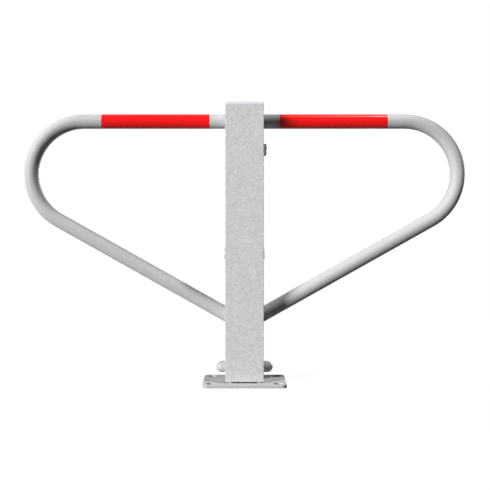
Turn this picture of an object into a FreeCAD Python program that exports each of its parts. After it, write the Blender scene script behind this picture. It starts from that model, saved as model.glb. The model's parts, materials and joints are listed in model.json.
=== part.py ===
"""Folding parking barrier.

A square post stands over a short hinge on a ground plate. Two bent tube wings close off the
parking bay, each with a red reflective band. A key lock in the post's side drives a flat
lock bar down into a keeper on the ground plate. With the bar lifted, the post folds back
about the hinge axle until it lies level, just above the plate.

Millimetres. X runs along the wings, +Y points to the rear, +Z up. The origin is the middle of
the ground plate's underside. The barrier stands upright here, with the lock bar lifted.
"""

import FreeCAD
import Part

import math
import os

Vector = FreeCAD.Vector

# Ground plate
PLATE_W = 153.0
PLATE_D = 100.0
PLATE_T = 6.0
PLATE_CORNER_R = 10.0
PLATE_EDGE_R = 0.8
ANCHOR_PITCH_X = 123.0
ANCHOR_PITCH_Y = 72.0
ANCHOR_HOLE_D = 16.0

# Square post
POST_W = 70.0
POST_WALL = 3.0
POST_CORNER_R = 0.8
POST_LEN = 504.0
POST_GAP = 3.0

# Moulded cap in the post's upper end
CAP_T = 4.5
CAP_EDGE_R = 0.5
CAP_SKIRT_H = 16.0
CAP_SKIRT_WALL = 2.5
CAP_RIB_H = 2.0
CAP_RIB_COUNT = 3
CAP_RIB_OUT = 0.9
CAP_FIT = 0.1

# Wings of bent tube
WING_SPAN = 833.0
WING_TUBE_D = 26.9
WING_TUBE_WALL = 2.3
WING_BEND_R = 99.6
WING_SLOPE_DEG = 29.3
WING_DROP = 22.3
WING_REAR_INSET = 1.0
WING_VENT_D = 10.0

# Red reflective bands
BAND_LEN = 203.0
BAND_T = 0.3
BAND_FROM_POST = 31.0
BAND_FIT = 0.02

# Hinge
AXLE_D = 21.0
AXLE_H = 21.0
AXLE_OVERHANG = 18.5
FOLD_CLEAR = 6.5
HEEL_CLEAR = 0.5
RUN_FIT = 0.05
BUSH_WALL = 1.5
BUSH_FLANGE_OUT = 2.2
BUSH_FLANGE_T = 1.5
CHEEK_T = 6.0
CHEEK_WALL = 4.5
CHEEK_TOE_H = 9.0
CHEEK_SIDE_PLAY = 0.5
STOP_CLEAR = 0.3
WINDOW_CLEAR = 3.0
SPRING_PIN_D = 4.0
SPRING_PIN_WALL = 0.8
SPRING_PIN_SLIT = 0.8
SPRING_PIN_LEN = 20.0
SPRING_PIN_SINK = 0.5
SPRING_PIN_FIT = 0.02

# Lock bar and its guides
BAR_W = 22.0
BAR_T = 6.0
BAR_AXLE_CLEAR = 7.5
BAR_FOOT_CLEAR = 0.5
BAR_ABOVE_YOKE = 14.0
BAR_TIP_CHAMFER = 2.0
KEEPER_WALL = 4.0
KEEPER_H = 12.0
KEEPER_CLEAR = 0.5
KEEPER_LEAD_IN = 1.0
LOWER_GUIDE_H = 70.0
LOWER_GUIDE_T = 4.0
LOWER_GUIDE_MARGIN = 8.0
GUIDE_CLEAR = 0.4
GUIDE_DROP = 272.0
GUIDE_D = 10.0
GUIDE_HEAD_D = 20.0
GUIDE_HEAD_T = 2.0
GUIDE_HEAD_EDGE_R = 0.8
GUIDE_SCREW_D = 6.0
GUIDE_SCREW_LEN = 22.0
GUIDE_SOCKET_AF = 4.0
GUIDE_SOCKET_DEPTH = 1.4
GUIDE_SPACER_D = 16.0
GUIDE_END_GAP = 0.5
GUIDE_FIT = 0.05

# Key lock
LOCK_DROP = 79.0
LOCK_BEZEL_D = 22.5
LOCK_BEZEL_T = 6.5
LOCK_BEZEL_EDGE_R = 1.6
LOCK_BARREL_D = 18.0
LOCK_BARREL_FIT = 0.1
LOCK_NUT_AF = 24.0
LOCK_NUT_T = 5.0
PLUG_D = 12.0
PLUG_HEAD_D = 15.0
PLUG_HEAD_T = 2.0
PLUG_RECESS = 0.4
PLUG_END_PLAY = 0.3
PLUG_DRIVE_AF = 7.0
KEYWAY_W = 2.4
KEYWAY_H = 8.5
KEYWAY_DEPTH = 18.0
LOCK_TURN_DEG = 90.0
CAM_T = 3.0
CAM_TO_BAR = 7.0
CAM_RIM = 3.0
CAM_DRIVE_FIT = 0.05
CAM_SCREW_D = 4.0
CAM_SCREW_LEN = 10.0
CAM_SCREW_HEAD_D = 9.0
CAM_SCREW_HEAD_T = 2.4
CAM_SCREW_SLOT_W = 1.2
CAM_SCREW_SLOT_DEPTH = 1.0
PIN_D = 6.0
PIN_ORBIT_R = 10.0
PIN_FIT = 0.02
PIN_PLAY = 0.6
PIN_TAIL = 3.5
CLIP_T = 0.8
CLIP_D = 11.0
CLIP_GROOVE_DEPTH = 0.6
CLIP_MOUTH = 4.4
CLIP_GAP = 0.8

# Places that follow from the sizes above
POST_HALF = POST_W / 2
POST_INNER = POST_HALF - POST_WALL
POST_BASE_Z = PLATE_T + POST_GAP
POST_TOP_Z = POST_BASE_Z + POST_LEN

AXLE_Z = PLATE_T + AXLE_H
AXLE_Y = POST_HALF - (AXLE_H - FOLD_CLEAR)
AXLE_END_X = POST_HALF + AXLE_OVERHANG
BUSH_OUT_R = AXLE_D / 2 + RUN_FIT + BUSH_WALL
CHEEK_R = AXLE_D / 2 + CHEEK_WALL
CHEEK_OUT_X = POST_INNER - BUSH_FLANGE_T - CHEEK_SIDE_PLAY
CHEEK_IN_X = CHEEK_OUT_X - CHEEK_T

BAR_BACK_Y = AXLE_Y - AXLE_D / 2 - BAR_AXLE_CLEAR
BAR_Y = BAR_BACK_Y - BAR_W / 2
BAR_FACE_X = BAR_T / 2

HALF_TURN = math.radians(LOCK_TURN_DEG / 2)
BAR_LIFT = 2 * PIN_ORBIT_R * math.sin(HALF_TURN)
PIN_REACH_MIN = PIN_ORBIT_R * math.cos(HALF_TURN)
LOCK_Z = POST_TOP_Z - LOCK_DROP
LOCK_Y = BAR_Y + (PIN_ORBIT_R + PIN_REACH_MIN) / 2
PIN_Y = LOCK_Y - PIN_REACH_MIN
PIN_Z = LOCK_Z + BAR_LIFT / 2
GUIDE_Z = POST_TOP_Z - GUIDE_DROP
LOWER_GUIDE_Z = POST_BASE_Z + LOWER_GUIDE_H
BAR_FOOT_Z = PLATE_T + BAR_FOOT_CLEAR + BAR_LIFT

CAM_IN_X = BAR_FACE_X + CAM_TO_BAR
CAM_OUT_X = CAM_IN_X + CAM_T
LOCK_FACE_X = POST_HALF + LOCK_BEZEL_T

WING_AXIS_Z = POST_TOP_Z - WING_DROP
WING_Y = POST_HALF - WING_REAR_INSET - WING_TUBE_D / 2
WING_REACH = WING_SPAN / 2 - WING_TUBE_D / 2


def x_rod(diameter, x_from, x_to, y, z):
    """Round bar along X."""
    return Part.makeCylinder(diameter / 2, x_to - x_from, Vector(x_from, y, z), Vector(1, 0, 0))


def block(x_from, x_to, y_from, y_to, z_from, z_to):
    """Box between two corners."""
    corner = Vector(x_from, y_from, z_from)
    return Part.makeBox(x_to - x_from, y_to - y_from, z_to - z_from, corner)


def rounded_prism(width, depth, radius, z_from, z_to):
    """Upright bar of rectangular section centred on Z, with round vertical corners."""
    bar = block(-width / 2, width / 2, -depth / 2, depth / 2, z_from, z_to)
    upright = [edge for edge in bar.Edges if abs(edge.tangentAt(edge.FirstParameter).z) > 0.5]
    return bar.makeFillet(radius, upright)


def x_prism(points_yz, x_from, x_to):
    """Straight-sided outline in the YZ plane, carried along X."""
    points = [Vector(x_from, y, z) for y, z in points_yz]
    outline = Part.makePolygon(points + points[:1])
    return Part.Face(outline).extrude(Vector(x_to - x_from, 0, 0))


def x_hexagon(across_flats, x_from, x_to, y, z):
    """Hexagonal bar along X, with flats at the top and bottom."""
    corner_r = across_flats / math.sqrt(3)
    angles = [math.radians(60 * step) for step in range(6)]
    points = [(y + corner_r * math.cos(a), z + corner_r * math.sin(a)) for a in angles]
    return x_prism(points, x_from, x_to)


def x_slot(width, length, vertical, x_from, x_to, y, z):
    """Round-ended slot cutter along X, upright or lying along Y."""
    half = (length - width) / 2
    if vertical:
        ends = [(y, z - half), (y, z + half)]
        middle = block(x_from, x_to, y - width / 2, y + width / 2, z - half, z + half)
    else:
        ends = [(y - half, z), (y + half, z)]
        middle = block(x_from, x_to, y - half, y + half, z - width / 2, z + width / 2)
    return middle.fuse([x_rod(width, x_from, x_to, *end) for end in ends]).removeSplitter()


def edges_at_x(shape, x):
    """Edges that lie wholly in the plane at x."""
    return [edge for edge in shape.Edges if max(abs(v.X - x) for v in edge.Vertexes) < 1e-6]


def edges_at_z(shape, z):
    """Edges that lie wholly in the plane at z."""
    return [edge for edge in shape.Edges if max(abs(v.Z - z) for v in edge.Vertexes) < 1e-6]


def wing_root_heights():
    """Heights at which a wing's upper and sloping tube axes meet the post's side."""
    slope = math.radians(WING_SLOPE_DEG)
    centre_x = WING_REACH - WING_BEND_R
    centre_z = WING_AXIS_Z - WING_BEND_R
    bend_end_x = centre_x + WING_BEND_R * math.sin(slope)
    bend_end_z = centre_z - WING_BEND_R * math.cos(slope)
    return WING_AXIS_Z, bend_end_z - (bend_end_x - POST_HALF) * math.tan(slope)


def make_base_plate():
    """Ground plate with four anchor holes and softened edges."""
    plate = rounded_prism(PLATE_W, PLATE_D, PLATE_CORNER_R, 0, PLATE_T)
    plate = plate.makeFillet(PLATE_EDGE_R, edges_at_z(plate, PLATE_T))
    for side in (-1, 1):
        for row in (-1, 1):
            centre = Vector(side * ANCHOR_PITCH_X / 2, row * ANCHOR_PITCH_Y / 2, 0)
            plate = plate.cut(Part.makeCylinder(ANCHOR_HOLE_D / 2, PLATE_T, centre))
    return plate


def spring_pin_place(side):
    """Foot of a spring pin, which stands in a cheek's lug and reaches into the axle."""
    middle_x = side * (CHEEK_IN_X + CHEEK_OUT_X) / 2
    top_z = AXLE_Z + CHEEK_R - SPRING_PIN_SINK
    return Vector(middle_x, AXLE_Y, top_z - SPRING_PIN_LEN)


def spring_pin_hole(side):
    """Hole for a spring pin, open at the top of the lug."""
    return Part.makeCylinder(
        SPRING_PIN_D / 2 + SPRING_PIN_FIT, SPRING_PIN_LEN + CHEEK_R, spring_pin_place(side)
    )


def make_hinge_cheek(side):
    """Upright cheek: a lug round the axle, and a toe that stops the post's front wall."""
    toe_y = -POST_INNER + STOP_CLEAR
    toe_z = PLATE_T + CHEEK_TOE_H
    away = math.atan2(toe_z - AXLE_Z, toe_y - AXLE_Y)
    distance = math.hypot(toe_y - AXLE_Y, toe_z - AXLE_Z)
    touch = away - math.acos(CHEEK_R / distance)
    x_from = min(side * CHEEK_IN_X, side * CHEEK_OUT_X)

    def on_lug(angle):
        y = AXLE_Y + CHEEK_R * math.cos(angle)
        return Vector(x_from, y, AXLE_Z + CHEEK_R * math.sin(angle))

    touch += 2 * math.pi if touch < 0 else 0
    slope_end = on_lug(touch)
    rear_top = on_lug(0)
    corners = [
        rear_top,
        Vector(x_from, AXLE_Y + CHEEK_R, PLATE_T),
        Vector(x_from, toe_y, PLATE_T),
        Vector(x_from, toe_y, toe_z),
        slope_end,
    ]
    edges = [Part.makeLine(a, b) for a, b in zip(corners, corners[1:])]
    edges.append(Part.Arc(slope_end, on_lug(touch / 2), rear_top).toShape())
    cheek = Part.Face(Part.Wire(edges)).extrude(Vector(CHEEK_T, 0, 0))
    bore = x_rod(AXLE_D + 2 * RUN_FIT, x_from, x_from + CHEEK_T, AXLE_Y, AXLE_Z)
    return cheek.cut(bore).cut(spring_pin_hole(side))


def make_hinge_axle():
    """Solid axle with domed ends, drilled for the two spring pins."""
    radius = AXLE_D / 2
    dome_x = AXLE_END_X - radius
    tips = [Vector(side * AXLE_END_X, 0, 0) for side in (-1, 1)]
    shoulders = [Vector(side * dome_x, radius, 0) for side in (-1, 1)]
    flank = radius * math.sqrt(0.5)
    mids = [Vector(side * (dome_x + flank), flank, 0) for side in (-1, 1)]
    half_outline = Part.Wire([
        Part.Arc(tips[0], mids[0], shoulders[0]).toShape(),
        Part.makeLine(shoulders[0], shoulders[1]),
        Part.Arc(shoulders[1], mids[1], tips[1]).toShape(),
        Part.makeLine(tips[1], tips[0]),
    ])
    axle = Part.Face(half_outline).revolve(Vector(0, 0, 0), Vector(1, 0, 0), 360)
    axle.translate(Vector(0, AXLE_Y, AXLE_Z))
    for side in (-1, 1):
        axle = axle.cut(spring_pin_hole(side))
    return axle


def make_axle_spring_pins():
    """Two rolled spring pins that hold the axle in the cheeks."""
    pins = []
    for side in (-1, 1):
        foot = spring_pin_place(side)
        pin = Part.makeCylinder(SPRING_PIN_D / 2, SPRING_PIN_LEN, foot)
        hollow = Part.makeCylinder(SPRING_PIN_D / 2 - SPRING_PIN_WALL, SPRING_PIN_LEN, foot)
        slit = Part.makeBox(SPRING_PIN_SLIT, SPRING_PIN_D, SPRING_PIN_LEN,
                            foot - Vector(SPRING_PIN_SLIT / 2, 0, 0))
        pins.append(pin.cut(hollow).cut(slit))
    return Part.makeCompound(pins)


def make_lock_keeper():
    """Block on the ground plate with a slot that the lock bar drops into."""
    slot_x = BAR_FACE_X + KEEPER_CLEAR
    slot_y = BAR_W / 2 + KEEPER_CLEAR
    top_z = PLATE_T + KEEPER_H
    keeper = block(-slot_x - KEEPER_WALL, slot_x + KEEPER_WALL,
                   BAR_Y - slot_y - KEEPER_WALL, BAR_Y + slot_y + KEEPER_WALL, PLATE_T, top_z)
    keeper = keeper.cut(block(-slot_x, slot_x, BAR_Y - slot_y, BAR_Y + slot_y, PLATE_T, top_z))
    mouth = [edge for edge in edges_at_z(keeper, top_z)
             if max(abs(v.X) for v in edge.Vertexes) < slot_x + KEEPER_WALL / 2]
    return keeper.makeChamfer(KEEPER_LEAD_IN, mouth)


def make_post_tube():
    """Square tube, cut away at its rear foot so that it can fold back over the cheeks."""
    tube = rounded_prism(POST_W, POST_W, POST_CORNER_R, POST_BASE_Z, POST_TOP_Z)
    tube = tube.cut(block(-POST_INNER, POST_INNER, -POST_INNER, POST_INNER, POST_BASE_Z, POST_TOP_Z))

    heel = block(-POST_HALF, POST_HALF, AXLE_Y, POST_HALF, POST_BASE_Z, AXLE_Z)
    heel_r = AXLE_H - HEEL_CLEAR
    heel = heel.cut(x_rod(2 * heel_r, -POST_HALF, POST_HALF, AXLE_Y, AXLE_Z))
    window_top = AXLE_Z + CHEEK_R + WINDOW_CLEAR
    window = block(-POST_INNER, POST_INNER, POST_INNER, POST_HALF, POST_BASE_Z, window_top)
    tube = tube.cut(heel).cut(window)

    tube = tube.cut(x_rod(2 * (BUSH_OUT_R + GUIDE_FIT), -POST_HALF, POST_HALF, AXLE_Y, AXLE_Z))
    tube = tube.cut(x_rod(GUIDE_D + 2 * GUIDE_FIT, -POST_HALF, POST_HALF, BAR_Y, GUIDE_Z))
    tube = tube.cut(x_rod(LOCK_BARREL_D + 2 * LOCK_BARREL_FIT, POST_INNER, POST_HALF, LOCK_Y, LOCK_Z))
    for height in wing_root_heights():
        tube = tube.cut(x_rod(WING_VENT_D, -POST_HALF, POST_HALF, WING_Y, height))
    return tube


def make_post_cap():
    """Moulded cap: a flange over the tube's end and a ribbed skirt inside it."""
    cap = rounded_prism(POST_W, POST_W, POST_CORNER_R, POST_TOP_Z, POST_TOP_Z + CAP_T)
    cap = cap.makeFillet(CAP_EDGE_R, edges_at_z(cap, POST_TOP_Z + CAP_T))
    rib_half = POST_INNER - CAP_FIT
    skirt_half = rib_half - CAP_RIB_OUT
    skirt_foot = POST_TOP_Z - CAP_SKIRT_H
    cap = cap.fuse(block(-skirt_half, skirt_half, -skirt_half, skirt_half, skirt_foot, POST_TOP_Z))
    pitch = CAP_SKIRT_H / (CAP_RIB_COUNT + 1)
    for rib in range(1, CAP_RIB_COUNT + 1):
        middle_z = skirt_foot + rib * pitch
        cap = cap.fuse(block(-rib_half, rib_half, -rib_half, rib_half,
                             middle_z - CAP_RIB_H / 2, middle_z + CAP_RIB_H / 2))
    bore_half = skirt_half - CAP_SKIRT_WALL
    cap = cap.cut(block(-bore_half, bore_half, -bore_half, bore_half, skirt_foot, POST_TOP_Z))
    return cap.removeSplitter()


def sweep_round(path, radius, start, direction):
    """Round bar of one radius along a smooth path."""
    section = Part.Wire(Part.makeCircle(radius, start, direction))
    return Part.Wire(path).makePipeShell([section], True, True)


def make_wing(side):
    """Tube near the post's rear that leaves it level, bends round and slopes back down to it."""
    slope = math.radians(WING_SLOPE_DEG)
    centre = Vector(side * (WING_REACH - WING_BEND_R), WING_Y, WING_AXIS_Z - WING_BEND_R)

    def on_bend(angle):
        return centre + Vector(side * math.sin(angle), 0, math.cos(angle)) * WING_BEND_R

    bend_end_angle = math.pi - slope
    bend_start = on_bend(0)
    bend_end = on_bend(bend_end_angle)
    run_in = POST_HALF - WING_TUBE_D
    level_start = Vector(side * run_in, WING_Y, WING_AXIS_Z)
    drop = (abs(bend_end.x) - run_in) * math.tan(slope)
    slope_end = Vector(side * run_in, WING_Y, bend_end.z - drop)
    path = [
        Part.makeLine(level_start, bend_start),
        Part.Arc(bend_start, on_bend(bend_end_angle / 2), bend_end).toShape(),
        Part.makeLine(bend_end, slope_end),
    ]
    along = Vector(side, 0, 0)
    outside = sweep_round(path, WING_TUBE_D / 2, level_start, along)
    inside = sweep_round(path, WING_TUBE_D / 2 - WING_TUBE_WALL, level_start, along)
    inner_x = sorted((side * POST_HALF, side * (POST_HALF - 3 * WING_TUBE_D)))
    behind_wall = block(*inner_x, WING_Y - WING_TUBE_D, WING_Y + WING_TUBE_D, 0, POST_TOP_Z)
    return outside.cut(inside).cut(behind_wall)


def make_red_band(side):
    """Reflective film wrapped round the level run of a wing."""
    x_ends = sorted(side * (POST_HALF + BAND_FROM_POST + step) for step in (0, BAND_LEN))
    bore_d = WING_TUBE_D + 2 * BAND_FIT
    film = x_rod(bore_d + 2 * BAND_T, *x_ends, WING_Y, WING_AXIS_Z)
    return film.cut(x_rod(bore_d, *x_ends, WING_Y, WING_AXIS_Z))


def make_hinge_bush(side):
    """Flanged bush that lines the post's wall on the axle."""
    flange_x = sorted((side * POST_INNER, side * (POST_INNER - BUSH_FLANGE_T)))
    barrel_x = sorted((side * POST_INNER, side * POST_HALF))
    whole_x = sorted((side * POST_HALF, side * (POST_INNER - BUSH_FLANGE_T)))
    flange = x_rod(2 * (BUSH_OUT_R + BUSH_FLANGE_OUT), *flange_x, AXLE_Y, AXLE_Z)
    bush = flange.fuse(x_rod(2 * BUSH_OUT_R, *barrel_x, AXLE_Y, AXLE_Z))
    return bush.cut(x_rod(AXLE_D + 2 * RUN_FIT, *whole_x, AXLE_Y, AXLE_Z)).removeSplitter()


def guide_head(side):
    """Flat round head with a hex socket, seated on the post's side."""
    outer_x = side * (POST_HALF + GUIDE_HEAD_T)
    head_x = sorted((side * POST_HALF, outer_x))
    head = x_rod(GUIDE_HEAD_D, *head_x, BAR_Y, GUIDE_Z)
    return head.makeFillet(GUIDE_HEAD_EDGE_R, edges_at_x(head, outer_x))


def guide_socket(side):
    """Hex socket cutter in a guide head."""
    outer_x = side * (POST_HALF + GUIDE_HEAD_T)
    socket_x = sorted((outer_x, outer_x - side * GUIDE_SOCKET_DEPTH))
    return x_hexagon(GUIDE_SOCKET_AF, *socket_x, BAR_Y, GUIDE_Z)


def make_guide_sleeve_nut():
    """Sleeve nut that crosses the post and carries the lock bar's guide slot."""
    tail_x = -POST_HALF + GUIDE_END_GAP
    barrel = x_rod(GUIDE_D, tail_x, POST_HALF, BAR_Y, GUIDE_Z)
    thread = x_rod(GUIDE_SCREW_D + 2 * GUIDE_FIT, tail_x, tail_x + GUIDE_SCREW_LEN, BAR_Y, GUIDE_Z)
    return guide_head(1).fuse(barrel).cut(thread).cut(guide_socket(1)).removeSplitter()


def make_guide_screw():
    """Screw that closes the sleeve nut from the post's other side."""
    tip_x = -POST_HALF + GUIDE_SCREW_LEN - GUIDE_END_GAP
    shank = x_rod(GUIDE_SCREW_D, -POST_HALF, tip_x, BAR_Y, GUIDE_Z)
    return guide_head(-1).fuse(shank).cut(guide_socket(-1)).removeSplitter()


def make_guide_spacer(side):
    """Tube on the sleeve nut that keeps the lock bar in the middle of the post."""
    x_ends = sorted((side * (BAR_FACE_X + GUIDE_CLEAR), side * (POST_INNER - GUIDE_FIT)))
    spacer = x_rod(GUIDE_SPACER_D, *x_ends, BAR_Y, GUIDE_Z)
    return spacer.cut(x_rod(GUIDE_D + 2 * GUIDE_FIT, *x_ends, BAR_Y, GUIDE_Z))


def make_lower_bar_guide():
    """Cross plate between the post's side walls, slotted for the lock bar."""
    slot_x = BAR_FACE_X + GUIDE_CLEAR
    slot_y = BAR_W / 2 + GUIDE_CLEAR
    plate_y = slot_y + LOWER_GUIDE_MARGIN
    top_z = LOWER_GUIDE_Z + LOWER_GUIDE_T
    front_y = max(BAR_Y - plate_y, -POST_INNER)
    plate = block(-POST_INNER, POST_INNER, front_y, BAR_Y + plate_y, LOWER_GUIDE_Z, top_z)
    return plate.cut(block(-slot_x, slot_x, BAR_Y - slot_y, BAR_Y + slot_y, LOWER_GUIDE_Z, top_z))


def make_lock_barrel():
    """Lock body: a bezel outside the post and a barrel through its wall."""
    bezel = x_rod(LOCK_BEZEL_D, POST_HALF, LOCK_FACE_X, LOCK_Y, LOCK_Z)
    bezel = bezel.makeFillet(LOCK_BEZEL_EDGE_R, edges_at_x(bezel, LOCK_FACE_X))
    inner_x = CAM_OUT_X + PLUG_END_PLAY
    body = bezel.fuse(x_rod(LOCK_BARREL_D, inner_x, POST_HALF, LOCK_Y, LOCK_Z))
    body = body.cut(x_rod(PLUG_D + 2 * RUN_FIT, inner_x, LOCK_FACE_X, LOCK_Y, LOCK_Z))
    seat_x = LOCK_FACE_X - PLUG_RECESS - PLUG_HEAD_T - PLUG_END_PLAY
    seat = x_rod(PLUG_HEAD_D + 2 * RUN_FIT, seat_x, LOCK_FACE_X, LOCK_Y, LOCK_Z)
    return body.cut(seat).removeSplitter()


def make_lock_ring_nut():
    """Hexagon nut that clamps the lock barrel to the post's wall."""
    x_ends = (POST_INNER - LOCK_NUT_T, POST_INNER)
    nut = x_hexagon(LOCK_NUT_AF, *x_ends, LOCK_Y, LOCK_Z)
    return nut.cut(x_rod(LOCK_BARREL_D + 2 * GUIDE_FIT, *x_ends, LOCK_Y, LOCK_Z))


def make_lock_plug():
    """Turning core of the lock, with the keyway in its face and a square drive behind."""
    face_x = LOCK_FACE_X - PLUG_RECESS
    plug = x_rod(PLUG_D, CAM_OUT_X, face_x, LOCK_Y, LOCK_Z)
    plug = plug.fuse(x_rod(PLUG_HEAD_D, face_x - PLUG_HEAD_T, face_x, LOCK_Y, LOCK_Z))
    half = PLUG_DRIVE_AF / 2
    drive = block(CAM_IN_X, CAM_OUT_X, LOCK_Y - half, LOCK_Y + half, LOCK_Z - half, LOCK_Z + half)
    plug = plug.fuse(drive)
    keyway = block(face_x - KEYWAY_DEPTH, face_x, LOCK_Y - KEYWAY_W / 2, LOCK_Y + KEYWAY_W / 2,
                   LOCK_Z - KEYWAY_H / 2, LOCK_Z + KEYWAY_H / 2)
    thread = x_rod(CAM_SCREW_D + 2 * GUIDE_FIT, CAM_IN_X, CAM_IN_X + CAM_SCREW_LEN, LOCK_Y, LOCK_Z)
    return plug.cut(keyway).cut(thread).removeSplitter()


def make_lock_cam():
    """Lever on the plug's square drive, with an eye for the drive pin."""
    hub_r = PLUG_DRIVE_AF / 2 * math.sqrt(2) + CAM_RIM
    eye_r = PIN_D / 2 + CAM_RIM
    reach = math.hypot(PIN_Y - LOCK_Y, PIN_Z - LOCK_Z)
    across_y = -(PIN_Z - LOCK_Z) / reach
    across_z = (PIN_Y - LOCK_Y) / reach
    web = [
        (LOCK_Y + eye_r * across_y, LOCK_Z + eye_r * across_z),
        (LOCK_Y - eye_r * across_y, LOCK_Z - eye_r * across_z),
        (PIN_Y - eye_r * across_y, PIN_Z - eye_r * across_z),
        (PIN_Y + eye_r * across_y, PIN_Z + eye_r * across_z),
    ]
    x_ends = (CAM_IN_X, CAM_OUT_X)
    cam = x_rod(2 * hub_r, *x_ends, LOCK_Y, LOCK_Z)
    cam = cam.fuse([x_rod(2 * eye_r, *x_ends, PIN_Y, PIN_Z), x_prism(web, *x_ends)])
    half = PLUG_DRIVE_AF / 2 + CAM_DRIVE_FIT
    cam = cam.cut(block(*x_ends, LOCK_Y - half, LOCK_Y + half, LOCK_Z - half, LOCK_Z + half))
    return cam.cut(x_rod(PIN_D + 2 * PIN_FIT, *x_ends, PIN_Y, PIN_Z)).removeSplitter()


def clip_outer_x():
    """Face of the clip that looks at the lock bar."""
    return -BAR_FACE_X - CLIP_GAP


def make_drive_pin():
    """Pin in the cam's eye that works in the lock bar's yoke slot."""
    tail_x = clip_outer_x() - PIN_TAIL
    pin = x_rod(PIN_D, tail_x, CAM_OUT_X, PIN_Y, PIN_Z)
    groove_x = (clip_outer_x() - CLIP_T - PIN_FIT, clip_outer_x() + PIN_FIT)
    groove = x_rod(2 * PIN_D, *groove_x, PIN_Y, PIN_Z)
    groove = groove.cut(x_rod(PIN_D - 2 * CLIP_GROOVE_DEPTH, *groove_x, PIN_Y, PIN_Z))
    return pin.cut(groove)


def make_drive_pin_clip():
    """Open retaining clip in the drive pin's groove, behind the lock bar."""
    x_ends = (clip_outer_x() - CLIP_T, clip_outer_x())
    seat_d = PIN_D - 2 * CLIP_GROOVE_DEPTH + 2 * PIN_FIT
    clip = x_rod(CLIP_D, *x_ends, PIN_Y, PIN_Z)
    clip = clip.cut(x_rod(seat_d, *x_ends, PIN_Y, PIN_Z))
    mouth = block(*x_ends, PIN_Y - CLIP_MOUTH / 2, PIN_Y + CLIP_MOUTH / 2, PIN_Z, PIN_Z + CLIP_D)
    return clip.cut(mouth)


def make_cam_screw():
    """Slotted screw that holds the cam on the plug."""
    head_x = (CAM_IN_X - CAM_SCREW_HEAD_T, CAM_IN_X)
    head = x_rod(CAM_SCREW_HEAD_D, *head_x, LOCK_Y, LOCK_Z)
    tip_x = CAM_IN_X + CAM_SCREW_LEN - PLUG_END_PLAY
    screw = head.fuse(x_rod(CAM_SCREW_D, CAM_IN_X, tip_x, LOCK_Y, LOCK_Z))
    slot_x = (head_x[0], head_x[0] + CAM_SCREW_SLOT_DEPTH)
    slot = block(*slot_x, LOCK_Y - CAM_SCREW_HEAD_D, LOCK_Y + CAM_SCREW_HEAD_D,
                 LOCK_Z - CAM_SCREW_SLOT_W / 2, LOCK_Z + CAM_SCREW_SLOT_W / 2)
    return screw.cut(slot).removeSplitter()


def make_lock_bar():
    """Flat bar with a yoke slot for the drive pin and a long slot for the guide sleeve."""
    x_ends = (-BAR_FACE_X, BAR_FACE_X)
    front_y = BAR_Y - BAR_W / 2
    chamfer = BAR_TIP_CHAMFER
    top_z = PIN_Z + BAR_ABOVE_YOKE
    outline = [
        (front_y + chamfer, BAR_FOOT_Z),
        (BAR_BACK_Y - chamfer, BAR_FOOT_Z),
        (BAR_BACK_Y, BAR_FOOT_Z + chamfer),
        (BAR_BACK_Y, top_z - chamfer),
        (BAR_BACK_Y - chamfer, top_z),
        (front_y + chamfer, top_z),
        (front_y, top_z - chamfer),
        (front_y, BAR_FOOT_Z + chamfer),
    ]
    bar = x_prism(outline, *x_ends)
    yoke_w = PIN_D + 2 * PIN_PLAY
    yoke_len = PIN_ORBIT_R - PIN_REACH_MIN + yoke_w
    bar = bar.cut(x_slot(yoke_w, yoke_len, False, *x_ends, BAR_Y, PIN_Z))
    guide_w = GUIDE_D + 2 * GUIDE_CLEAR
    guide_len = BAR_LIFT + guide_w + 2 * GUIDE_CLEAR
    return bar.cut(x_slot(guide_w, guide_len, True, *x_ends, BAR_Y, GUIDE_Z + BAR_LIFT / 2))


SIDES = {"left": -1, "right": 1}

PARTS = {
    "base_plate": make_base_plate(),
    "hinge_axle": make_hinge_axle(),
    "axle_spring_pins": make_axle_spring_pins(),
    "lock_keeper": make_lock_keeper(),
    "post_tube": make_post_tube(),
    "post_cap": make_post_cap(),
    "guide_sleeve_nut": make_guide_sleeve_nut(),
    "guide_screw": make_guide_screw(),
    "lower_bar_guide": make_lower_bar_guide(),
    "lock_barrel": make_lock_barrel(),
    "lock_ring_nut": make_lock_ring_nut(),
    "lock_plug": make_lock_plug(),
    "lock_cam": make_lock_cam(),
    "drive_pin": make_drive_pin(),
    "drive_pin_clip": make_drive_pin_clip(),
    "cam_screw": make_cam_screw(),
    "lock_bar": make_lock_bar(),
}

PAIRED = {
    "hinge_cheek": make_hinge_cheek,
    "wing": make_wing,
    "red_band": make_red_band,
    "hinge_bush": make_hinge_bush,
    "guide_spacer": make_guide_spacer,
}

for piece, make in PAIRED.items():
    for side_name, side_sign in SIDES.items():
        PARTS[f"{piece}_{side_name}"] = make(side_sign)

os.makedirs("parts", exist_ok=True)
for node, shape in PARTS.items():
    shape.exportStep(f"parts/{node}.step")
    print(f"{node}: valid {shape.isValid()}, solids {len(shape.Solids)}, volume {shape.Volume:.1f}")

print(f"axle at y {AXLE_Y:.3f}, z {AXLE_Z:.3f}; lock at y {LOCK_Y:.3f}, z {LOCK_Z:.3f}")
print(f"bar centre y {BAR_Y:.3f}, lift {BAR_LIFT:.3f}; guide z {GUIDE_Z:.3f}")
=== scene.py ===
"""Looks of the folding parking barrier: fine tubes, films, axle and lock, finishes and stage."""

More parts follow.
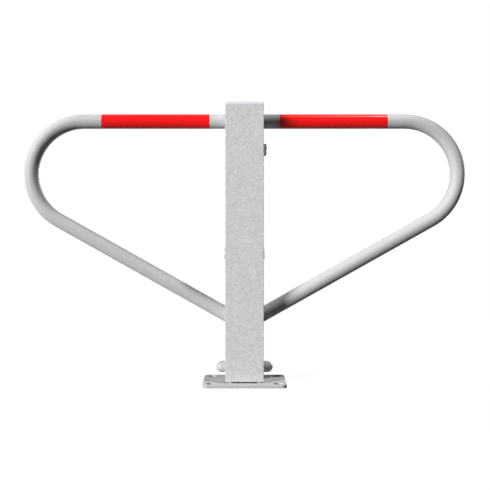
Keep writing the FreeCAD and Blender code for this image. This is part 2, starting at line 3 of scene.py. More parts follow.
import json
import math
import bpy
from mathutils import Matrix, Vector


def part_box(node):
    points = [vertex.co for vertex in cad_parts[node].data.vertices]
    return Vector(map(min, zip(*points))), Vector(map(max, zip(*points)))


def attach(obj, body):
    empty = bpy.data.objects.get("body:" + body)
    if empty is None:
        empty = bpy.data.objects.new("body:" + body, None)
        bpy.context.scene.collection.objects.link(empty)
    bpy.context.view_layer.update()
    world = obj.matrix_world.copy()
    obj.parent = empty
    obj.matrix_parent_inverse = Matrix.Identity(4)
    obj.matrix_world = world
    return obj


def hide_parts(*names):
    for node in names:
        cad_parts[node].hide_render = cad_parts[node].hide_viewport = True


bl_info = {
    "name": "Folding parking barrier",
    "version": (1, 0, 0),
    "blender": (4, 5, 0),
    "location": "View3D > Sidebar > Barrier",
    "description": "Dresses a folding parking barrier with galvanised steel, red film and a chrome lock",
    "category": "Object",
}

import bpy
import numpy as np
from bpy.props import FloatProperty, FloatVectorProperty, PointerProperty
from mathutils import Vector

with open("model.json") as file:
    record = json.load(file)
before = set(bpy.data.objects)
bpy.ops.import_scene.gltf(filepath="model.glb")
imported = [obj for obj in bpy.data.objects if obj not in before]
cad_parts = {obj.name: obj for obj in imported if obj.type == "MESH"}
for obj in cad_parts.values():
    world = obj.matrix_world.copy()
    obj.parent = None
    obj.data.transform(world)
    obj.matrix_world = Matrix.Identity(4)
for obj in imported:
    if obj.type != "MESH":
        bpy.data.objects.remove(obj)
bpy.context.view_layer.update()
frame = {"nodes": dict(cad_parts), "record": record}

# Places taken from the frame, in metres
POST_LOW, POST_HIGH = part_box("post_tube")
WING_LOW, WING_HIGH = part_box("wing_right")
BAND_LOW, BAND_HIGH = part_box("red_band_right")
AXLE_LOW, AXLE_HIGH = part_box("hinge_axle")
LOCK_LOW, LOCK_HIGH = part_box("lock_barrel")
WING_Y = (WING_LOW.y + WING_HIGH.y) / 2
SIDES = {"left": -1, "right": 1}

# Steps round and along the meshes
ROUND_STEPS = 96
FILM_STEPS = 128
BEND_STEPS = 72
STRAIGHT_STEPS = 20
DOME_STEPS = 24
EDGE_STEPS = 12
SHARP_ANGLE = math.radians(35)

# Film: room over the tube, angle in which the lap rises, and share of the length that edges its ends
FILM_GAP = 0.00002
LAP_RISE_ANGLE = math.radians(3)
FILM_EDGE = 0.0004

# Lamps: azimuth and elevation in degrees, distance and width in metres
LAMP_TARGET = Vector((0.0, 0.0, 0.27))
LAMPS = {
    "key": {"azimuth": -51, "elevation": 15.4, "distance": 24.0, "width": 8.4},
    "top": {"azimuth": 62, "elevation": 75, "distance": 8.0, "width": 0.6},
    "rear": {"azimuth": 160, "elevation": 5, "distance": 8.0, "width": 2.4},
}
WHITE = (1.0, 1.0, 1.0)

# Sockets of a Mix node that blends colours
MIX_SHARE, MIX_FIRST, MIX_SECOND = 0, 6, 7
MIX_RESULT = 2


class WingSizes(bpy.types.PropertyGroup):
    """Sizes of the bent wing tubes."""

    reach: FloatProperty(
        name="Half span", description="From the middle of the post to the outermost point of a wing",
        default=(WING_HIGH.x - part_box("wing_left")[0].x) / 2, unit="LENGTH")
    diameter: FloatProperty(
        name="Tube diameter", description="Outside diameter of the wing tube",
        default=WING_HIGH.y - WING_LOW.y, unit="LENGTH")
    wall: FloatProperty(
        name="Tube wall", description="Wall thickness of the wing tube", default=0.0023, unit="LENGTH")
    bend_radius: FloatProperty(
        name="Bend radius", description="Radius of the bend at the tube's middle",
        default=0.0996, unit="LENGTH")
    slope: FloatProperty(
        name="Slope", description="Fall of the lower run towards the post",
        default=math.radians(29.3), subtype="ANGLE")
    top: FloatProperty(
        name="Top", description="Height of the level run's upper edge", default=WING_HIGH.z, unit="LENGTH")


class BandSizes(bpy.types.PropertyGroup):
    """Sizes of the red films."""

    start: FloatProperty(
        name="Start", description="From the middle of the post to the film's near edge",
        default=BAND_LOW.x, unit="LENGTH")
    length: FloatProperty(
        name="Length", description="Length of the film along the tube",
        default=BAND_HIGH.x - BAND_LOW.x, unit="LENGTH")
    outer_radius: FloatProperty(
        name="Outer radius", description="Radius over the film's lap",
        default=(BAND_HIGH.y - BAND_LOW.y) / 2, unit="LENGTH")
    lap: FloatProperty(
        name="Lap height", description="Rise where the film's end lies over its start",
        default=0.00012, unit="LENGTH")
    lap_angle: FloatProperty(
        name="Lap half angle", description="Half of the angle that the lap takes at the rear of the tube",
        default=math.radians(40), subtype="ANGLE")


class LockSizes(bpy.types.PropertyGroup):
    """Sizes of the lock body."""

    edge_radius: FloatProperty(
        name="Bezel rounding", description="Rounding of the bezel's outer edge",
        default=0.0018, unit="LENGTH")
    barrel_radius: FloatProperty(
        name="Barrel radius", description="Radius of the barrel inside the post",
        default=0.009, unit="LENGTH")
    bore_radius: FloatProperty(
        name="Bore radius", description="Radius of the bore round the turning core",
        default=0.00605, unit="LENGTH")
    seat_radius: FloatProperty(
        name="Seat radius", description="Radius of the recess round the core's head",
        default=0.00755, unit="LENGTH")
    seat_depth: FloatProperty(
        name="Seat depth", description="Depth of the recess round the core's head",
        default=0.0027, unit="LENGTH")
    lip: FloatProperty(
        name="Lip", description="Bevel at the mouth of the recess", default=0.0005, unit="LENGTH")


class FinishColours(bpy.types.PropertyGroup):
    """Colours of the finishes. The zinc comes in three copies of different brightness: painted light on the
    post, painted shade on the tubes and the plate.
    """

    # Paler copy of the zinc on the post and the other galvanised parts: painted light, standing in for
    # light on the post's front. The crystal mottle is real.
    zinc: FloatVectorProperty(
        name="Zinc", description="Bright crystals in the galvanised steel",
        default=(0.705, 0.705, 0.707), subtype="COLOR")
    zinc_dark: FloatVectorProperty(
        name="Zinc, dark", description="Dull crystals in the galvanised steel",
        default=(0.520, 0.520, 0.523), subtype="COLOR")
    # Darker copy of the same zinc on the wing tubes: painted shade. The crystal mottle is real.
    tube_zinc: FloatVectorProperty(
        name="Tube zinc", description="Bright crystals on the wing tubes",
        default=(0.576, 0.576, 0.579), subtype="COLOR")
    tube_zinc_dark: FloatVectorProperty(
        name="Tube zinc, dark", description="Dull crystals on the wing tubes",
        default=(0.460, 0.460, 0.464), subtype="COLOR")
    # Darker copy of the same zinc on the ground plate: painted shade for its top. The crystal mottle is
    # real.
    plate_zinc: FloatVectorProperty(
        name="Plate zinc", description="Bright crystals on the ground plate",
        default=(0.595, 0.595, 0.598), subtype="COLOR")
    plate_zinc_dark: FloatVectorProperty(
        name="Plate zinc, dark", description="Dull crystals on the ground plate",
        default=(0.470, 0.470, 0.474), subtype="COLOR")
    red: FloatVectorProperty(
        name="Red", description="Reflective film", default=(0.985, 0.007, 0.008), subtype="COLOR")
    red_dark: FloatVectorProperty(
        name="Red, dark", description="Cell walls in the reflective film",
        default=(0.930, 0.005, 0.006), subtype="COLOR")
    cap: FloatVectorProperty(
        name="Cap", description="Moulded cap", default=(0.850, 0.829, 0.876), subtype="COLOR")
    # Far darker than chrome: painted shade, standing in for the dark surroundings that the lock reflects.
    chrome: FloatVectorProperty(
        name="Chrome", description="Polished lock parts", default=(0.165, 0.160, 0.157), subtype="COLOR")
    steel: FloatVectorProperty(
        name="Steel", description="Turned steel", default=(0.500, 0.500, 0.500), subtype="COLOR")
    plated: FloatVectorProperty(
        name="Plated steel", description="Bright zinc plating", default=(0.560, 0.565, 0.580),
        subtype="COLOR")
    brass: FloatVectorProperty(
        name="Brass", description="Lock nut", default=(0.700, 0.520, 0.240), subtype="COLOR")
    polymer: FloatVectorProperty(
        name="Polymer", description="Hinge bushes", default=(0.045, 0.045, 0.050), subtype="COLOR")


class StageSizes(bpy.types.PropertyGroup):
    """Camera, lamps and floor."""

    lens: FloatProperty(name="Lens", description="Focal length", default=50.0, subtype="DISTANCE_CAMERA")
    camera_x: FloatProperty(
        name="Camera side", description="Camera's place along the wings", default=0.0009, unit="LENGTH")
    camera_distance: FloatProperty(
        name="Camera distance", description="From the middle of the post to the camera",
        default=1.2685, unit="LENGTH")
    camera_height: FloatProperty(
        name="Camera height", description="Height of the level camera", default=0.2570, unit="LENGTH")
    key_power: FloatProperty(
        name="Key lamp", description="Power of the lamp at the left front", default=8380.0, unit="POWER")
    top_power: FloatProperty(
        name="Top lamp", description="Power of the lamp high at the right", default=314.0, unit="POWER")
    rear_power: FloatProperty(
        name="Rear lamp", description="Power of the lamp low at the rear", default=440.0, unit="POWER")
    ambient: FloatProperty(name="Ambient", description="Strength of the even light", default=0.01)
    floor_glow: FloatProperty(
        name="Floor glow", description="White that the camera sees in the floor's shadow", default=0.975)
    floor_colour: FloatVectorProperty(
        name="Floor", description="What the floor sends back of the lamps' light",
        default=(0.05, 0.05, 0.05), subtype="COLOR")
    floor_reach: FloatProperty(
        name="Floor reach", description="From the middle of the floor to its edges",
        default=12.0, unit="LENGTH")
    shadow_reach: FloatProperty(
        name="Shadow reach", description="How far from the post the shadow starts to fade",
        default=0.6, unit="LENGTH")


class BarrierSettings(bpy.types.PropertyGroup):
    """All that a user would change."""

    wing: PointerProperty(type=WingSizes)
    band: PointerProperty(type=BandSizes)
    lock: PointerProperty(type=LockSizes)
    colour: PointerProperty(type=FinishColours)
    stage: PointerProperty(type=StageSizes)


def settings():
    """The scene's own copy of the settings."""
    return bpy.context.scene.barrier


class Wire:
    """One node output. Arithmetic on it adds Math nodes, and make() adds any other node."""

    def __init__(self, tree, socket):
        self.tree = tree
        self.socket = socket

    @classmethod
    def make(cls, tree, kind, options=None, inputs=None, output=0):
        """Adds a node, sets it, then gives its sockets their values or links."""
        node = tree.nodes.new(kind)
        for name, value in (options or {}).items():
            setattr(node, name, value)
        for key, value in (inputs or {}).items():
            if isinstance(value, cls):
                tree.links.new(value.socket, node.inputs[key])
            else:
                node.inputs[key].default_value = value
        return cls(tree, node.outputs[output] if node.outputs else None)

    def math(self, operation, *values):
        """Adds a Math node on the values."""
        return Wire.make(self.tree, "ShaderNodeMath", {"operation": operation}, dict(enumerate(values)))

    def __add__(self, other):
        return self.math("ADD", self, other)

    def __radd__(self, other):
        return self.math("ADD", other, self)

    def __sub__(self, other):
        return self.math("SUBTRACT", self, other)

    def __rsub__(self, other):
        return self.math("SUBTRACT", other, self)

    def __mul__(self, other):
        return self.math("MULTIPLY", self, other)

    def __rmul__(self, other):
        return self.math("MULTIPLY", other, self)

    def __truediv__(self, other):
        return self.math("DIVIDE", self, other)

    def __rtruediv__(self, other):
        return self.math("DIVIDE", other, self)

    def clamped(self):
        """The value kept from 0 to 1."""
        return self.math("MINIMUM", self.math("MAXIMUM", self, 0.0), 1.0)

    def swing(self, by):
        """A pattern from 0 to 1, moved to swing about 0 and stretched."""
        return (self - 0.5) * by

    def above(self, level, steepness):
        """0 up to a level, from there rising to 1."""
        return ((self - level) * steepness).clamped()


def around(*swings, level):
    """A level with all its swings, kept from 0 to 1."""
    return sum(swings, start=level).clamped()


def rgba(colour, shade=1.0):
    """A colour with full opacity, made darker or paler by the shade."""
    return (*(channel * shade for channel in colour), 1.0)


def place(tree, stretch=(1.0, 1.0, 1.0)):
    """Object coordinates in metres, stretched per axis."""
    coordinates = Wire.make(tree, "ShaderNodeTexCoord", output="Object")
    return Wire.make(tree, "ShaderNodeMapping", inputs={"Vector": coordinates, "Scale": stretch})


def noise(where, scale, detail=3.0, roughness=0.55):
    """Cloudy value from 0 to 1, with about scale clouds in a metre."""
    inputs = {"Vector": where, "Scale": scale, "Detail": detail, "Roughness": roughness}
    return Wire.make(where.tree, "ShaderNodeTexNoise", inputs=inputs, output="Fac")


def mix_colour(share, first, second):
    """Blend of two colours by a share."""
    inputs = {MIX_SHARE: share, MIX_FIRST: first, MIX_SECOND: second}
    return Wire.make(share.tree, "ShaderNodeMix", {"data_type": "RGBA"}, inputs, output=MIX_RESULT)


def bump(height, strength, distance):
    """Normal of a surface raised by height."""
    inputs = {"Strength": strength, "Distance": distance, "Height": height}
    return Wire.make(height.tree, "ShaderNodeBump", inputs=inputs)


def finish(name, build, **constants):
    """Material whose varying inputs come from build(tree) and whose constants sit on the shader."""
    material = bpy.data.materials.new(name)
    material.use_nodes = True
    tree = material.node_tree
    tree.nodes.clear()
    shader = Wire.make(tree, "ShaderNodeBsdfPrincipled", inputs={**constants, **build(tree)})
    Wire.make(tree, "ShaderNodeOutputMaterial", inputs={"Surface": shader})
    return material


def galvanised_finish(name, bright, dark, contrast, gloss, relief):
    """Hot-dip zinc: crystals about a millimetre wide in soft clouds, with bright flecks."""

    def build(tree):
        upright = place(tree, stretch=(1.0, 1.0, 0.75))
        crystals = noise(upright, scale=560.0, detail=2.0, roughness=0.6)
        clouds = noise(upright, scale=130.0, roughness=0.6)
        flecks = noise(place(tree), scale=470.0, detail=1.0).above(level=0.64, steepness=7.0)
        fleck_tone = 0.6
        tone = crystals.swing(by=3.0) + clouds.swing(by=0.9) + flecks * fleck_tone
        share = around(tone * contrast, level=0.47)
        return {
            "Base Color": mix_colour(share, rgba(dark), rgba(bright)),
            "Roughness": around(clouds.swing(by=-0.30), level=0.50),
            "Normal": bump(crystals, strength=relief, distance=0.0006),
        }

    return finish(name, build, **{"Specular IOR Level": gloss})


def film_finish():
    """Reflective film: fine cells under a clear gloss coat."""
    colour = settings().colour

    def build(tree):
        walls = Wire.make(tree, "ShaderNodeTexVoronoi", {"feature": "DISTANCE_TO_EDGE"},
                          {"Vector": place(tree), "Scale": 420.0, "Randomness": 0.2}, output="Distance")
        inside = walls.above(level=0.0, steepness=9.0)
        ripple = noise(place(tree, stretch=(0.25, 1.0, 1.0)), scale=160.0, detail=2.0)
        return {
            "Base Color": mix_colour(inside, rgba(colour.red_dark), rgba(colour.red)),
            "Roughness": around(ripple.swing(by=0.12), level=0.30),
            "Normal": bump(ripple, strength=0.05, distance=0.0005),
        }

    return finish("red_reflective_film", build,
                  **{"Specular IOR Level": 0.12, "Coat Weight": 0.09, "Coat Roughness": 0.12})


def cap_finish():
    """Moulded plastic with a fine grain and slight tone changes."""
    colour = settings().colour

    def build(tree):
        where = place(tree)
        grain = noise(where, scale=1400.0, detail=2.0)
        clouds = noise(where, scale=40.0)
        return {
            "Base Color": mix_colour(clouds, rgba(colour.cap, shade=0.94), rgba(colour.cap)),
            "Roughness": around(grain.swing(by=0.15), level=0.42),
            "Normal": bump(grain, strength=0.12, distance=0.0002),
        }

    return finish("moulded_cap", build, **{"Specular IOR Level": 0.5})


def polymer_finish():
    """Dark bearing polymer with pale flecks."""
    colour = settings().colour

    def build(tree):
        flecks = noise(place(tree), scale=800.0, detail=2.0)
        return {
            "Base Color": mix_colour(flecks, rgba(colour.polymer), rgba(colour.polymer, shade=2.2)),
            "Roughness": around(flecks.swing(by=0.2), level=0.45),
        }

    return finish("bush_polymer", build)


def metal_finish(name, tint, roughness, metallic, line_scale):
    """Worked metal: turning or drawing lines about X, with faint smears."""

    def build(tree):
        lines = noise(place(tree, stretch=(6.0, 0.35, 0.35)), scale=line_scale)
        smears = noise(place(tree), scale=70.0)
        share = around(lines.swing(by=0.9), smears.swing(by=0.8), level=0.5)
        return {
            "Base Color": mix_colour(share, rgba(tint, shade=0.86), rgba(tint)),
            "Roughness": around(lines.swing(by=0.12), smears.swing(by=0.10), level=roughness),
            "Normal": bump(lines, strength=0.06, distance=0.0002),
        }

    return finish(name, build, Metallic=metallic)


def signed_volume(points, triangles):
    """Volume of a closed mesh: a sixth of the summed triple products of its triangles."""
    first, second, third = (points[triangles[:, corner]] for corner in range(3))
    return np.einsum("ij,ij->i", first, np.cross(second, third)).sum() / 6


def add_piece(name, skin, body, node, material):
    """Closed mesh of quads and of triangle fans at its tips, faces outward, in place of a CAD node."""
    points, quads, fans = skin
    triangles = np.vstack([quads[:, [0, 1, 2]], quads[:, [0, 2, 3]], fans])
    if signed_volume(points, triangles) < 0:
        quads, fans = quads[:, ::-1], fans[:, ::-1]
    mesh = bpy.data.meshes.new(name)
    mesh.from_pydata(points.tolist(), [], quads.tolist() + fans.tolist())
    mesh.validate()
    mesh.polygons.foreach_set("use_smooth", np.ones(len(mesh.polygons), dtype=bool))
    mesh.set_sharp_from_angle(angle=SHARP_ANGLE)
    mesh.materials.append(bpy.data.materials[material])
    piece = bpy.data.objects.new(name, mesh)
    bpy.context.scene.collection.objects.link(piece)
    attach(piece, body)
    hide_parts(node)


def closed_grid(points):
    """Points, quads and no fans of a grid that closes on itself in both directions."""
    rows, columns = points.shape[:2]
    index = np.arange(rows * columns).reshape(rows, columns)
    down = np.roll(index, -1, axis=0)
    across = np.roll(index, -1, axis=1)
    both = np.roll(down, -1, axis=1)
    quads = np.stack([index, across, both, down], axis=-1).reshape(-1, 4)
    return points.reshape(-1, 3), quads, np.empty((0, 3), dtype=int)


def tipped_grid(points, tips):
    """Points, quads and fans of a grid that closes round its columns and ends in a tip at each end."""
    rows, columns = points.shape[:2]
    index = np.arange(rows * columns).reshape(rows, columns)
    across = np.roll(index, -1, axis=1)
    quads = np.stack([index[:-1], across[:-1], across[1:], index[1:]], axis=-1).reshape(-1, 4)
    first = np.full(columns, rows * columns)
    first_fan = np.stack([first, across[0], index[0]], axis=-1)
    last_fan = np.stack([first + 1, index[-1], across[-1]], axis=-1)
    return np.vstack([points.reshape(-1, 3), tips]), quads, np.vstack([first_fan, last_fan])


def full_turn(steps):
    """Even angles once round, the last one step short of the first."""
    return np.linspace(0, 2 * math.pi, steps, endpoint=False)


def turned(profile, centre_y, centre_z):
    """Outline of (x, radius) turned about an axis along X: y and z are the axis's place plus the radius
    times the turn's cosine and sine."""
    angle = full_turn(ROUND_STEPS)
    x, radius = profile[:, 0], profile[:, 1]
    y = centre_y + radius[:, None] * np.cos(angle)
    z = centre_z + radius[:, None] * np.sin(angle)
    return np.stack([np.broadcast_to(x[:, None], y.shape), y, z], axis=-1)


def wing_line(sizes):
    """Middle line of a wing and its direction: level run, arc about the bend's centre, sloping run."""
    post_x = POST_HIGH.x
    axis_z = sizes.top - sizes.diameter / 2
    axis_reach = sizes.reach - sizes.diameter / 2
    centre = np.array([axis_reach - sizes.bend_radius, axis_z - sizes.bend_radius])
    turn = np.linspace(0, math.pi - sizes.slope, BEND_STEPS)
    arc = centre + sizes.bend_radius * np.stack([np.sin(turn), np.cos(turn)], axis=1)
    arc_way = np.stack([np.cos(turn), -np.sin(turn)], axis=1)
    level_x = np.linspace(post_x, arc[0, 0], STRAIGHT_STEPS)[:-1]
    level = np.stack([level_x, np.full_like(level_x, axis_z)], axis=1)
    level_way = np.tile(arc_way[:1], (len(level), 1))
    slope_x = np.linspace(arc[-1, 0], post_x, STRAIGHT_STEPS)[1:]
    slope = np.stack([slope_x, arc[-1, 1] - (arc[-1, 0] - slope_x) * math.tan(sizes.slope)], axis=1)
    slope_way = np.tile(arc_way[-1:], (len(slope), 1))
    return np.vstack([level, arc, slope]), np.vstack([level_way, arc_way, slope_way])


def wing_skin(sizes, radius, side):
    """Circle carried along a wing's line: line + radius (cos a across + sin a along Y).

    The first and last circles slide along the tube until they lie in the post's side."""
    line, way = wing_line(sizes)
    across = np.stack([-way[:, 1], way[:, 0]], axis=1)
    angle = full_turn(ROUND_STEPS)
    flat = line[:, None, :] + radius * np.cos(angle)[None, :, None] * across[:, None, :]
    for end in (0, -1):
        shift = (POST_HIGH.x - flat[end, :, 0]) / way[end, 0]
        flat[end] += shift[:, None] * way[end]
    depth = np.broadcast_to(WING_Y + radius * np.sin(angle), flat.shape[:2])
    return np.stack([side * flat[..., 0], depth, flat[..., 1]], axis=-1)


def band_skin(sizes, side):
    """Film: radius r(a) about the tube's axis, raised by the lap over a part of the turn at the rear,
    carried along X; a second skin inside closes it. Rings close to the ends keep their edges crisp."""
    axis_z = (BAND_LOW.z + BAND_HIGH.z) / 2
    inner = settings().wing.diameter / 2 + FILM_GAP
    angle = full_turn(FILM_STEPS)
    rise = np.clip((sizes.lap_angle - np.abs(angle - math.pi / 2)) / LAP_RISE_ANGLE, 0, 1)
    outer = sizes.outer_radius - sizes.lap * (1 - rise)
    stations = np.array([0.0, FILM_EDGE, 0.5, 1.0 - FILM_EDGE, 1.0])
    along = side * (sizes.start + stations * sizes.length)

    def rings(radius, x):
        x, radius = np.broadcast_arrays(x[:, None], radius[None, :])
        return np.stack([x, WING_Y + radius * np.sin(angle), axis_z + radius * np.cos(angle)], axis=-1)

    return np.vstack([rings(outer, along), rings(np.full_like(angle, inner), along[::-1])])


def axle_profile():
    """Axle with domed ends, as x and radius of its rings from tip to tip, the tips left out: on a dome,
    x is the dome's centre plus the radius times the turn's cosine, and the ring's radius its sine."""
    radius = (AXLE_HIGH.z - AXLE_LOW.z) / 2
    dome_x = AXLE_HIGH.x - radius
    turn = np.linspace(0, math.pi / 2, DOME_STEPS + 1)[1:]
    right = np.stack([dome_x + radius * np.cos(turn), radius * np.sin(turn)], axis=1)
    left = right * np.array([-1.0, 1.0])
    return np.vstack([left, right[::-1]])


def lock_profile(sizes):
    """Outline of the lock body in x and radius: barrel, bezel, recess for the core, bore. The bezel's
    outer edge is a quarter circle: its centre plus the edge radius times the turn's cosine and sine."""
    wall_x = POST_HIGH.x
    face_x = LOCK_HIGH.x
    seat_x = face_x - sizes.seat_depth
    bezel_r = (LOCK_HIGH.z - LOCK_LOW.z) / 2
    edge = sizes.edge_radius
    turn = np.linspace(math.pi / 2, 0, EDGE_STEPS)
    rounding = np.stack([face_x - edge + edge * np.cos(turn), bezel_r - edge + edge * np.sin(turn)], axis=1)
    return np.vstack([
        [[LOCK_LOW.x, sizes.bore_radius], [LOCK_LOW.x, sizes.barrel_radius]],
        [[wall_x, sizes.barrel_radius], [wall_x, bezel_r]],
        rounding,
        [[face_x, sizes.seat_radius + sizes.lip], [face_x - sizes.lip, sizes.seat_radius]],
        [[seat_x, sizes.seat_radius], [seat_x, sizes.bore_radius]],
    ])


def seen_directly(tree):
    """1 for rays from the camera, and for those that metal or glass sends on; else 0."""
    rays = ("Is Camera Ray", "Is Glossy Ray", "Is Transmission Ray")
    camera, glossy, through = (Wire.make(tree, "ShaderNodeLightPath", output=ray) for ray in rays)
    return (camera + glossy + through).clamped()


def floor_finish():
    """White to the camera: it takes the shadow within the shadow's reach, and by twice that reach it
    has faded to plain white."""
    stage = settings().stage
    material = bpy.data.materials.new("pale_floor")
    material.use_nodes = True
    tree = material.node_tree
    tree.nodes.clear()
    seen = seen_directly(tree)
    spot = Wire.make(tree, "ShaderNodeTexCoord", output="Object")
    away = Wire.make(tree, "ShaderNodeVectorMath", {"operation": "LENGTH"}, {0: spot}, output="Value")
    far = (away / stage.shadow_reach - 1.0).clamped()
    pale = Wire.make(tree, "ShaderNodeBsdfDiffuse", inputs={"Color": rgba(stage.floor_colour)})
    near_white, far_white = (
        Wire.make(tree, "ShaderNodeEmission", inputs={"Color": rgba(WHITE, glow), "Strength": seen})
        for glow in (stage.floor_glow, 1.0))
    near = Wire.make(tree, "ShaderNodeAddShader", inputs={0: pale, 1: near_white})
    both = Wire.make(tree, "ShaderNodeMixShader", inputs={0: far, 1: near, 2: far_white})
    Wire.make(tree, "ShaderNodeOutputMaterial", inputs={"Surface": both})
    return material


def make_floor():
    """Wide square floor under the barrier."""
    reach = settings().stage.floor_reach
    mesh = bpy.data.meshes.new("floor")
    corners = [(-reach, -reach, 0), (reach, -reach, 0), (reach, reach, 0), (-reach, reach, 0)]
    mesh.from_pydata(corners, [], [(0, 1, 2, 3)])
    mesh.materials.append(floor_finish())
    floor = bpy.data.objects.new("floor", mesh)
    bpy.context.scene.collection.objects.link(floor)


def make_world():
    """White where the camera and the metal look, and a low even light elsewhere."""
    world = bpy.data.worlds.new("studio")
    world.use_nodes = True
    tree = world.node_tree
    tree.nodes.clear()
    ambient = settings().stage.ambient
    strength = ambient + seen_directly(tree) * (1.0 - ambient)
    light = Wire.make(tree, "ShaderNodeBackground", inputs={"Color": rgba(WHITE), "Strength": strength})
    Wire.make(tree, "ShaderNodeOutputWorld", inputs={"Surface": light})
    bpy.context.scene.world = world


def add_lamp(name, power, azimuth, elevation, distance, width):
    """Round soft lamp aimed at the barrier's middle; azimuth runs from the camera to the right."""
    turn = math.radians(azimuth)
    rise = math.radians(elevation)
    away = Vector((math.sin(turn) * math.cos(rise), -math.cos(turn) * math.cos(rise), math.sin(rise)))
    light = bpy.data.lights.new(name, "AREA")
    light.shape = "DISK"
    light.size = width
    light.energy = power
    lamp = bpy.data.objects.new(name, light)
    bpy.context.scene.collection.objects.link(lamp)
    lamp.location = LAMP_TARGET + away * distance
    lamp.rotation_mode = "QUATERNION"
    lamp.rotation_quaternion = away.to_track_quat("Z", "Y")


def make_camera():
    """Level camera in front of the barrier."""
    stage = settings().stage
    camera = bpy.data.cameras.new("camera")
    camera.lens = stage.lens
    seat = bpy.data.objects.new("camera", camera)
    bpy.context.scene.collection.objects.link(seat)
    seat.location = (stage.camera_x, -stage.camera_distance, stage.camera_height)
    seat.rotation_euler = (math.pi / 2, 0, 0)
    bpy.context.scene.camera = seat


class BARRIER_OT_finishes(bpy.types.Operator):
    """Makes the finishes and gives one to each carried-over solid"""

    bl_idname = "barrier.finishes"
    bl_label = "Finishes"

    def execute(self, context):
        colour = settings().colour
        # The zinc in three copies: the paler one on the post and its fittings is painted light, and the
        # darker ones on the tubes and the plate are painted shade.
        galvanised_finish("tube_zinc", colour.tube_zinc, colour.tube_zinc_dark,
                          contrast=0.6, gloss=0.18, relief=0.006)
        plate_zinc = galvanised_finish("plate_zinc", colour.plate_zinc, colour.plate_zinc_dark,
                                       contrast=0.6, gloss=0.01, relief=0.03)
        by_slot = {
            "galvanised": galvanised_finish("galvanised_steel", colour.zinc, colour.zinc_dark,
                                            contrast=1.0, gloss=0.18, relief=0.03),
            "red_film": film_finish(),
            "cap_plastic": cap_finish(),
            "bush_plastic": polymer_finish(),
            # The chrome's dark tint is painted shade for the dark surroundings it reflects.
            "lock_chrome": metal_finish("polished_chrome", colour.chrome,
                                        roughness=0.12, metallic=1.0, line_scale=30.0),
            "axle_steel": metal_finish("turned_steel", colour.steel,
                                       roughness=0.50, metallic=0.0, line_scale=120.0),
            "zinc_steel": metal_finish("plated_steel", colour.plated,
                                       roughness=0.38, metallic=0.45, line_scale=60.0),
            "lock_brass": metal_finish("lock_brass", colour.brass,
                                       roughness=0.30, metallic=1.0, line_scale=60.0),
        }
        for subpart in frame["record"]["subparts"]:
            solid = frame["nodes"][subpart["node"]]
            solid.data.materials.clear()
            solid.data.materials.append(by_slot[subpart["material_slot"]])
        # The ground plate takes the darker zinc copy: painted shade.
        frame["nodes"]["base_plate"].data.materials[0] = plate_zinc
        return {"FINISHED"}


class BARRIER_OT_wings(bpy.types.Operator):
    """Builds the two bent wing tubes"""

    bl_idname = "barrier.wings"
    bl_label = "Wing tubes"

    def execute(self, context):
        sizes = settings().wing
        for name, side in SIDES.items():
            outside = wing_skin(sizes, sizes.diameter / 2, side)
            inside = wing_skin(sizes, sizes.diameter / 2 - sizes.wall, side)
            skin = closed_grid(np.vstack([outside, inside[::-1]]))
            add_piece(f"wing_tube_{name}", skin, "post", f"wing_{name}", "tube_zinc")
        return {"FINISHED"}


class BARRIER_OT_bands(bpy.types.Operator):
    """Builds the two red films"""

    bl_idname = "barrier.bands"
    bl_label = "Red films"

    def execute(self, context):
        for name, side in SIDES.items():
            skin = closed_grid(band_skin(settings().band, side))
            add_piece(f"red_film_{name}", skin, "post", f"red_band_{name}",
                      "red_reflective_film")
        return {"FINISHED"}


class BARRIER_OT_axle(bpy.types.Operator):
    """Builds the hinge axle with its domed ends"""

    bl_idname = "barrier.axle"
    bl_label = "Hinge axle"

    def execute(self, context):
        centre_y = (AXLE_LOW.y + AXLE_HIGH.y) / 2
        centre_z = (AXLE_LOW.z + AXLE_HIGH.z) / 2
        tips = np.array([[AXLE_LOW.x, centre_y, centre_z], [AXLE_HIGH.x, centre_y, centre_z]])
        skin = tipped_grid(turned(axle_profile(), centre_y, centre_z), tips)
        add_piece("axle_domed", skin, "base", "hinge_axle", "turned_steel")
        return {"FINISHED"}


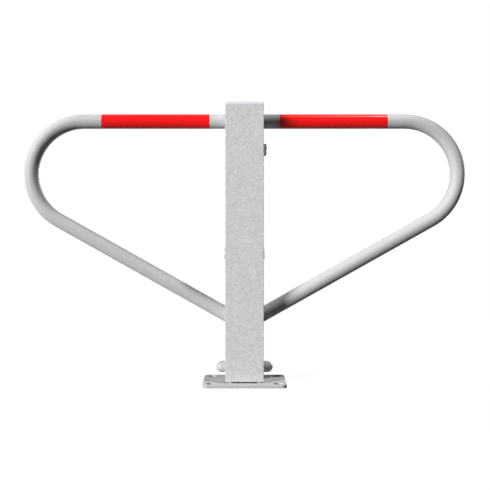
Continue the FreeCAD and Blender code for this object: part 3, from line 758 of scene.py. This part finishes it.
class BARRIER_OT_lock(bpy.types.Operator):
    """Builds the lock body with its bezel"""

    bl_idname = "barrier.lock"
    bl_label = "Lock body"

    def execute(self, context):
        centre_y = (LOCK_LOW.y + LOCK_HIGH.y) / 2
        centre_z = (LOCK_LOW.z + LOCK_HIGH.z) / 2
        skin = closed_grid(turned(lock_profile(settings().lock), centre_y, centre_z))
        add_piece("lock_bezel", skin, "post", "lock_barrel", "polished_chrome")
        return {"FINISHED"}


class BARRIER_OT_stage(bpy.types.Operator):
    """Sets up the floor, world, lamps and camera"""

    bl_idname = "barrier.stage"
    bl_label = "Stage"

    def execute(self, context):
        stage = settings().stage
        make_floor()
        make_world()
        for name, spot in LAMPS.items():
            add_lamp(f"{name}_lamp", getattr(stage, f"{name}_power"), **spot)
        make_camera()
        context.scene.view_settings.view_transform = "Standard"
        return {"FINISHED"}


class BARRIER_PT_sidebar(bpy.types.Panel):
    """Lists the barrier's pieces and stage"""

    bl_idname = "BARRIER_PT_sidebar"
    bl_label = "Folding parking barrier"
    bl_space_type = "VIEW_3D"
    bl_region_type = "UI"
    bl_category = "Barrier"

    def draw(self, context):
        for operator in OPERATORS:
            self.layout.operator(operator.bl_idname)
        for group in ("wing", "band", "lock", "colour", "stage"):
            box = self.layout.box()
            part = getattr(context.scene.barrier, group)
            for name in part.bl_rna.properties.keys():
                if name not in ("rna_type", "name"):
                    box.prop(part, name)


GROUPS = (WingSizes, BandSizes, LockSizes, FinishColours, StageSizes, BarrierSettings)
OPERATORS = (
    BARRIER_OT_finishes,
    BARRIER_OT_wings,
    BARRIER_OT_bands,
    BARRIER_OT_axle,
    BARRIER_OT_lock,
    BARRIER_OT_stage,
)
CLASSES = (*GROUPS, *OPERATORS, BARRIER_PT_sidebar)


def register():
    for item in CLASSES:
        bpy.utils.register_class(item)
    bpy.types.Scene.barrier = PointerProperty(type=BarrierSettings)


def unregister():
    del bpy.types.Scene.barrier
    for item in reversed(CLASSES):
        bpy.utils.unregister_class(item)


def main():
    register()
    for operator in OPERATORS:
        group, name = operator.bl_idname.split(".")
        getattr(getattr(bpy.ops, group), name)()


if __name__ == "__main__":
    main()
